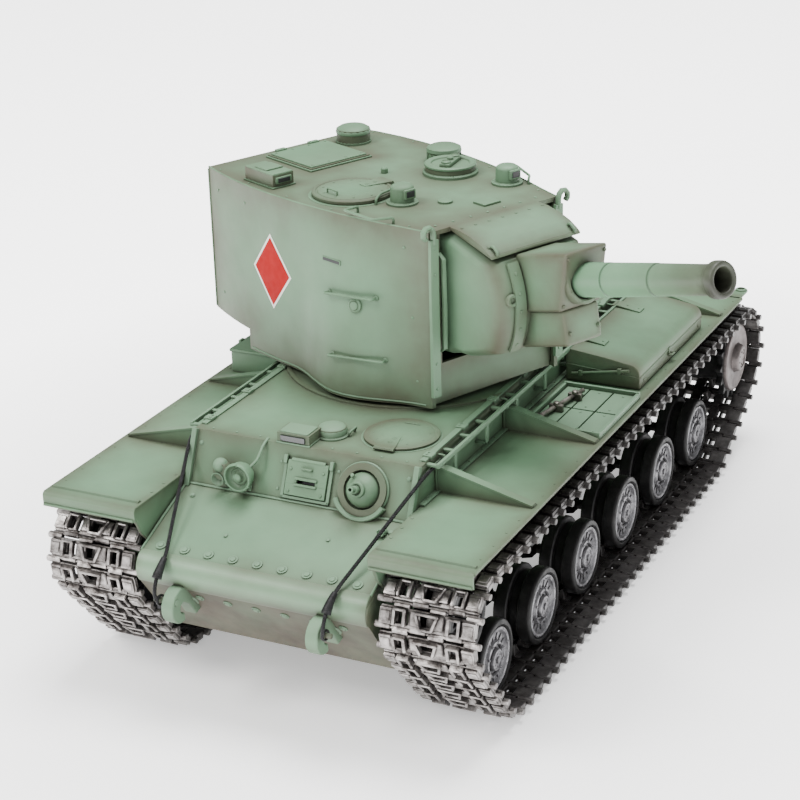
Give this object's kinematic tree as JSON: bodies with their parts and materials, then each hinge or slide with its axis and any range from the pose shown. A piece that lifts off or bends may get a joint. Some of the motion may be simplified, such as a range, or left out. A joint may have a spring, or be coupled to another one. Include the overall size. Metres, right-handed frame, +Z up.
{
  "type": "radio controlled tank model",
  "caption": "Tracked model tank with a tall slab-sided traversing turret, an elevating stub howitzer, sprung road wheels, fenders, hatches and tow cables.",
  "frame": {"origin": "centre of the flat belly plate, midway between the tracks", "axes": "+Y towards the rear of the hull, -Y the front, +X the tank's left, +Z up, away from the belly plate"},
  "size_m": [0.2888, 0.4055, 0.2067],
  "materials": {
    "paint": "matt grey-green paint with brown weathering on moulded plastic",
    "paint_dark": "matt grey-green paint, dusty and darker towards the belly",
    "track": "cast links, darkened, with pads worn bright",
    "wheel_metal": "turned, dark grey, dull",
    "hub_metal": "warm grey, satin",
    "black_metal": "black, satin",
    "cable": "twisted strand, painted black",
    "black_plastic": "moulded, black",
    "gear_plastic": "natural nylon",
    "battery_wrap": "heat-shrunk sleeve",
    "circuit_board": "solder-masked board"
  },
  "bodies": {
    "hull": {"lower_hull": "paint_dark", "upper_hull": "paint", "fender_left": "paint", "fender_right": "paint", "stowage_box": "paint", "headlight": "paint", "drive_unit": "black_plastic", "battery_pack": "battery_wrap", "control_board": "circuit_board", "traverse_motor": "black_metal", "tow_cable_left": "cable", "tow_cable_right": "cable", "track_left": "track", "track_right": "track"},
    "turret": {"turret_shell": "paint", "turret_base": "black_plastic"},
    "gun": {"mantlet": "paint", "gun_barrel": "paint", "gun_unit": "black_plastic"},
    "turret_hatch": {"turret_hatch": "paint"},
    "rear_door": {"rear_door": "paint"},
    "hull_hatch": {"hull_hatch": "paint"},
    "driver_visor": {"driver_visor": "paint"},
    "ball_mount": {"ball_mount": "paint"},
    "power_switch": {"power_switch": "black_plastic"},
    "traverse_pinion": {"traverse_pinion": "gear_plastic"},
    "sprocket_left": {"sprocket_left": "hub_metal"},
    "idler_left": {"idler_left": "black_metal"},
    "swing_arm_left_1": {"swing_arm_left_1": "black_metal"},
    "road_wheel_left_1": {"road_wheel_left_1": "wheel_metal"},
    "swing_arm_left_2": {"swing_arm_left_2": "black_metal"},
    "road_wheel_left_2": {"road_wheel_left_2": "wheel_metal"},
    "swing_arm_left_3": {"swing_arm_left_3": "black_metal"},
    "road_wheel_left_3": {"road_wheel_left_3": "wheel_metal"},
    "swing_arm_left_4": {"swing_arm_left_4": "black_metal"},
    "road_wheel_left_4": {"road_wheel_left_4": "wheel_metal"},
    "swing_arm_left_5": {"swing_arm_left_5": "black_metal"},
    "road_wheel_left_5": {"road_wheel_left_5": "wheel_metal"},
    "swing_arm_left_6": {"swing_arm_left_6": "black_metal"},
    "road_wheel_left_6": {"road_wheel_left_6": "wheel_metal"},
    "return_roller_left_1": {"return_roller_left_1": "black_metal"},
    "return_roller_left_2": {"return_roller_left_2": "black_metal"},
    "return_roller_left_3": {"return_roller_left_3": "black_metal"},
    "sprocket_right": {"sprocket_right": "hub_metal"},
    "idler_right": {"idler_right": "black_metal"},
    "swing_arm_right_1": {"swing_arm_right_1": "black_metal"},
    "road_wheel_right_1": {"road_wheel_right_1": "wheel_metal"},
    "swing_arm_right_2": {"swing_arm_right_2": "black_metal"},
    "road_wheel_right_2": {"road_wheel_right_2": "wheel_metal"},
    "swing_arm_right_3": {"swing_arm_right_3": "black_metal"},
    "road_wheel_right_3": {"road_wheel_right_3": "wheel_metal"},
    "swing_arm_right_4": {"swing_arm_right_4": "black_metal"},
    "road_wheel_right_4": {"road_wheel_right_4": "wheel_metal"},
    "swing_arm_right_5": {"swing_arm_right_5": "black_metal"},
    "road_wheel_right_5": {"road_wheel_right_5": "wheel_metal"},
    "swing_arm_right_6": {"swing_arm_right_6": "black_metal"},
    "road_wheel_right_6": {"road_wheel_right_6": "wheel_metal"},
    "return_roller_right_1": {"return_roller_right_1": "black_metal"},
    "return_roller_right_2": {"return_roller_right_2": "black_metal"},
    "return_roller_right_3": {"return_roller_right_3": "black_metal"}
  },
  "joints": [
    {"name": "turret_traverse", "type": "hinge", "parent": "hull", "child": "turret", "pos_m": [0, -0.02, 0.0852], "axis": [0, 0, 1], "range_deg": [-225.5, 94.5]},
    {"name": "gun_elevation", "type": "hinge", "parent": "turret", "child": "gun", "pos_m": [0.0455, -0.04074, 0.1362], "axis": [-0.4147, -0.91, 0], "range_deg": [-17, 1.5]},
    {"name": "turret_hatch_hinge", "type": "hinge", "parent": "turret", "child": "turret_hatch", "pos_m": [-0.01279, -0.01912, 0.1705], "axis": [-0.91, 0.4147, 0], "range_deg": [0, 100]},
    {"name": "rear_door_hinge", "type": "hinge", "parent": "turret", "child": "rear_door", "pos_m": [-0.08217, 0.03723, 0.13], "axis": [0, 0, -1], "range_deg": [0, 100]},
    {"name": "hull_hatch_hinge", "type": "hinge", "parent": "hull", "child": "hull_hatch", "pos_m": [0.034, -0.1253, 0.0846], "axis": [1, 0, 0], "range_deg": [0, 100]},
    {"name": "driver_visor_hinge", "type": "hinge", "parent": "hull", "child": "driver_visor", "pos_m": [0.0038, -0.13679, 0.07818], "axis": [-1, 0, 0], "range_deg": [0, 70]},
    {"name": "ball_mount_pan", "type": "hinge", "parent": "hull", "child": "ball_mount", "pos_m": [0.031, -0.1377, 0.07012], "axis": [0, 0.4008, 0.9162], "range_deg": [-20, 20]},
    {"name": "power_switch_slide", "type": "slide", "parent": "hull", "child": "power_switch", "axis": [0, 1, 0], "range_m": [0, 0.004]},
    {"name": "traverse_pinion_spin", "type": "hinge", "parent": "hull", "child": "traverse_pinion", "pos_m": [0, 0.0299, 0.077], "axis": [0, 0, 1], "range_deg": [-400, 920]},
    {"name": "sprocket_left_spin", "type": "hinge", "parent": "hull", "child": "sprocket_left", "pos_m": [0.08175, 0.177, 0.027], "axis": [1, 0, 0], "continuous": true},
    {"name": "idler_left_spin", "type": "hinge", "parent": "hull", "child": "idler_left", "pos_m": [0.08175, -0.1625, 0.032], "axis": [1, 0, 0], "continuous": true},
    {"name": "swing_arm_left_1_hinge", "type": "hinge", "parent": "hull", "child": "swing_arm_left_1", "pos_m": [0.08175, -0.154, 0.006], "axis": [1, 0, 0], "range_deg": [0, 10], "stiffness_Nm_per_rad": 0.15, "springref_deg": -11.46},
    {"name": "road_wheel_left_1_spin", "type": "hinge", "parent": "swing_arm_left_1", "child": "road_wheel_left_1", "pos_m": [0.08175, -0.134, -0.002], "axis": [1, 0, 0], "continuous": true},
    {"name": "swing_arm_left_2_hinge", "type": "hinge", "parent": "hull", "child": "swing_arm_left_2", "pos_m": [0.08175, -0.1005, 0.006], "axis": [1, 0, 0], "range_deg": [0, 10], "stiffness_Nm_per_rad": 0.15, "springref_deg": -11.46},
    {"name": "road_wheel_left_2_spin", "type": "hinge", "parent": "swing_arm_left_2", "child": "road_wheel_left_2", "pos_m": [0.08175, -0.0805, -0.002], "axis": [1, 0, 0], "continuous": true},
    {"name": "swing_arm_left_3_hinge", "type": "hinge", "parent": "hull", "child": "swing_arm_left_3", "pos_m": [0.08175, -0.047, 0.006], "axis": [1, 0, 0], "range_deg": [0, 10], "stiffness_Nm_per_rad": 0.15, "springref_deg": -11.46},
    {"name": "road_wheel_left_3_spin", "type": "hinge", "parent": "swing_arm_left_3", "child": "road_wheel_left_3", "pos_m": [0.08175, -0.027, -0.002], "axis": [1, 0, 0], "continuous": true},
    {"name": "swing_arm_left_4_hinge", "type": "hinge", "parent": "hull", "child": "swing_arm_left_4", "pos_m": [0.08175, 0.0065, 0.006], "axis": [1, 0, 0], "range_deg": [0, 10], "stiffness_Nm_per_rad": 0.15, "springref_deg": -11.46},
    {"name": "road_wheel_left_4_spin", "type": "hinge", "parent": "swing_arm_left_4", "child": "road_wheel_left_4", "pos_m": [0.08175, 0.0265, -0.002], "axis": [1, 0, 0], "continuous": true},
    {"name": "swing_arm_left_5_hinge", "type": "hinge", "parent": "hull", "child": "swing_arm_left_5", "pos_m": [0.08175, 0.06, 0.006], "axis": [1, 0, 0], "range_deg": [0, 10], "stiffness_Nm_per_rad": 0.15, "springref_deg": -11.46},
    {"name": "road_wheel_left_5_spin", "type": "hinge", "parent": "swing_arm_left_5", "child": "road_wheel_left_5", "pos_m": [0.08175, 0.08, -0.002], "axis": [1, 0, 0], "continuous": true},
    {"name": "swing_arm_left_6_hinge", "type": "hinge", "parent": "hull", "child": "swing_arm_left_6", "pos_m": [0.08175, 0.1135, 0.006], "axis": [1, 0, 0], "range_deg": [0, 10], "stiffness_Nm_per_rad": 0.15, "springref_deg": -11.46},
    {"name": "road_wheel_left_6_spin", "type": "hinge", "parent": "swing_arm_left_6", "child": "road_wheel_left_6", "pos_m": [0.08175, 0.1335, -0.002], "axis": [1, 0, 0], "continuous": true},
    {"name": "return_roller_left_1_spin", "type": "hinge", "parent": "hull", "child": "return_roller_left_1", "pos_m": [0.08175, -0.086, 0.041], "axis": [1, 0, 0], "continuous": true},
    {"name": "return_roller_left_2_spin", "type": "hinge", "parent": "hull", "child": "return_roller_left_2", "pos_m": [0.08175, 0, 0.041], "axis": [1, 0, 0], "continuous": true},
    {"name": "return_roller_left_3_spin", "type": "hinge", "parent": "hull", "child": "return_roller_left_3", "pos_m": [0.08175, 0.086, 0.041], "axis": [1, 0, 0], "continuous": true},
    {"name": "sprocket_right_spin", "type": "hinge", "parent": "hull", "child": "sprocket_right", "pos_m": [-0.08175, 0.177, 0.027], "axis": [1, 0, 0], "continuous": true},
    {"name": "idler_right_spin", "type": "hinge", "parent": "hull", "child": "idler_right", "pos_m": [-0.08175, -0.1625, 0.032], "axis": [1, 0, 0], "continuous": true},
    {"name": "swing_arm_right_1_hinge", "type": "hinge", "parent": "hull", "child": "swing_arm_right_1", "pos_m": [-0.08175, -0.154, 0.006], "axis": [1, 0, 0], "range_deg": [0, 10], "stiffness_Nm_per_rad": 0.15, "springref_deg": -11.46},
    {"name": "road_wheel_right_1_spin", "type": "hinge", "parent": "swing_arm_right_1", "child": "road_wheel_right_1", "pos_m": [-0.08175, -0.134, -0.002], "axis": [1, 0, 0], "continuous": true},
    {"name": "swing_arm_right_2_hinge", "type": "hinge", "parent": "hull", "child": "swing_arm_right_2", "pos_m": [-0.08175, -0.1005, 0.006], "axis": [1, 0, 0], "range_deg": [0, 10], "stiffness_Nm_per_rad": 0.15, "springref_deg": -11.46},
    {"name": "road_wheel_right_2_spin", "type": "hinge", "parent": "swing_arm_right_2", "child": "road_wheel_right_2", "pos_m": [-0.08175, -0.0805, -0.002], "axis": [1, 0, 0], "continuous": true},
    {"name": "swing_arm_right_3_hinge", "type": "hinge", "parent": "hull", "child": "swing_arm_right_3", "pos_m": [-0.08175, -0.047, 0.006], "axis": [1, 0, 0], "range_deg": [0, 10], "stiffness_Nm_per_rad": 0.15, "springref_deg": -11.46},
    {"name": "road_wheel_right_3_spin", "type": "hinge", "parent": "swing_arm_right_3", "child": "road_wheel_right_3", "pos_m": [-0.08175, -0.027, -0.002], "axis": [1, 0, 0], "continuous": true},
    {"name": "swing_arm_right_4_hinge", "type": "hinge", "parent": "hull", "child": "swing_arm_right_4", "pos_m": [-0.08175, 0.0065, 0.006], "axis": [1, 0, 0], "range_deg": [0, 10], "stiffness_Nm_per_rad": 0.15, "springref_deg": -11.46},
    {"name": "road_wheel_right_4_spin", "type": "hinge", "parent": "swing_arm_right_4", "child": "road_wheel_right_4", "pos_m": [-0.08175, 0.0265, -0.002], "axis": [1, 0, 0], "continuous": true},
    {"name": "swing_arm_right_5_hinge", "type": "hinge", "parent": "hull", "child": "swing_arm_right_5", "pos_m": [-0.08175, 0.06, 0.006], "axis": [1, 0, 0], "range_deg": [0, 10], "stiffness_Nm_per_rad": 0.15, "springref_deg": -11.46},
    {"name": "road_wheel_right_5_spin", "type": "hinge", "parent": "swing_arm_right_5", "child": "road_wheel_right_5", "pos_m": [-0.08175, 0.08, -0.002], "axis": [1, 0, 0], "continuous": true},
    {"name": "swing_arm_right_6_hinge", "type": "hinge", "parent": "hull", "child": "swing_arm_right_6", "pos_m": [-0.08175, 0.1135, 0.006], "axis": [1, 0, 0], "range_deg": [0, 10], "stiffness_Nm_per_rad": 0.15, "springref_deg": -11.46},
    {"name": "road_wheel_right_6_spin", "type": "hinge", "parent": "swing_arm_right_6", "child": "road_wheel_right_6", "pos_m": [-0.08175, 0.1335, -0.002], "axis": [1, 0, 0], "continuous": true},
    {"name": "return_roller_right_1_spin", "type": "hinge", "parent": "hull", "child": "return_roller_right_1", "pos_m": [-0.08175, -0.086, 0.041], "axis": [1, 0, 0], "continuous": true},
    {"name": "return_roller_right_2_spin", "type": "hinge", "parent": "hull", "child": "return_roller_right_2", "pos_m": [-0.08175, 0, 0.041], "axis": [1, 0, 0], "continuous": true},
    {"name": "return_roller_right_3_spin", "type": "hinge", "parent": "hull", "child": "return_roller_right_3", "pos_m": [-0.08175, 0.086, 0.041], "axis": [1, 0, 0], "continuous": true}
  ],
  "couplings": [
    {"joint": "traverse_pinion_spin", "follows": "turret_traverse", "ratio": -4},
    {"joint": "idler_left_spin", "follows": "sprocket_left_spin", "ratio": 1.2634},
    {"joint": "road_wheel_left_1_spin", "follows": "sprocket_left_spin", "ratio": 1.2912},
    {"joint": "road_wheel_left_2_spin", "follows": "sprocket_left_spin", "ratio": 1.2912},
    {"joint": "road_wheel_left_3_spin", "follows": "sprocket_left_spin", "ratio": 1.2912},
    {"joint": "road_wheel_left_4_spin", "follows": "sprocket_left_spin", "ratio": 1.2912},
    {"joint": "road_wheel_left_5_spin", "follows": "sprocket_left_spin", "ratio": 1.2912},
    {"joint": "road_wheel_left_6_spin", "follows": "sprocket_left_spin", "ratio": 1.2912},
    {"joint": "return_roller_left_1_spin", "follows": "sprocket_left_spin", "ratio": 2.4227},
    {"joint": "return_roller_left_2_spin", "follows": "sprocket_left_spin", "ratio": 2.4227},
    {"joint": "return_roller_left_3_spin", "follows": "sprocket_left_spin", "ratio": 2.4227},
    {"joint": "idler_right_spin", "follows": "sprocket_right_spin", "ratio": 1.2634},
    {"joint": "road_wheel_right_1_spin", "follows": "sprocket_right_spin", "ratio": 1.2912},
    {"joint": "road_wheel_right_2_spin", "follows": "sprocket_right_spin", "ratio": 1.2912},
    {"joint": "road_wheel_right_3_spin", "follows": "sprocket_right_spin", "ratio": 1.2912},
    {"joint": "road_wheel_right_4_spin", "follows": "sprocket_right_spin", "ratio": 1.2912},
    {"joint": "road_wheel_right_5_spin", "follows": "sprocket_right_spin", "ratio": 1.2912},
    {"joint": "road_wheel_right_6_spin", "follows": "sprocket_right_spin", "ratio": 1.2912},
    {"joint": "return_roller_right_1_spin", "follows": "sprocket_right_spin", "ratio": 2.4227},
    {"joint": "return_roller_right_2_spin", "follows": "sprocket_right_spin", "ratio": 2.4227},
    {"joint": "return_roller_right_3_spin", "follows": "sprocket_right_spin", "ratio": 2.4227}
  ]
}
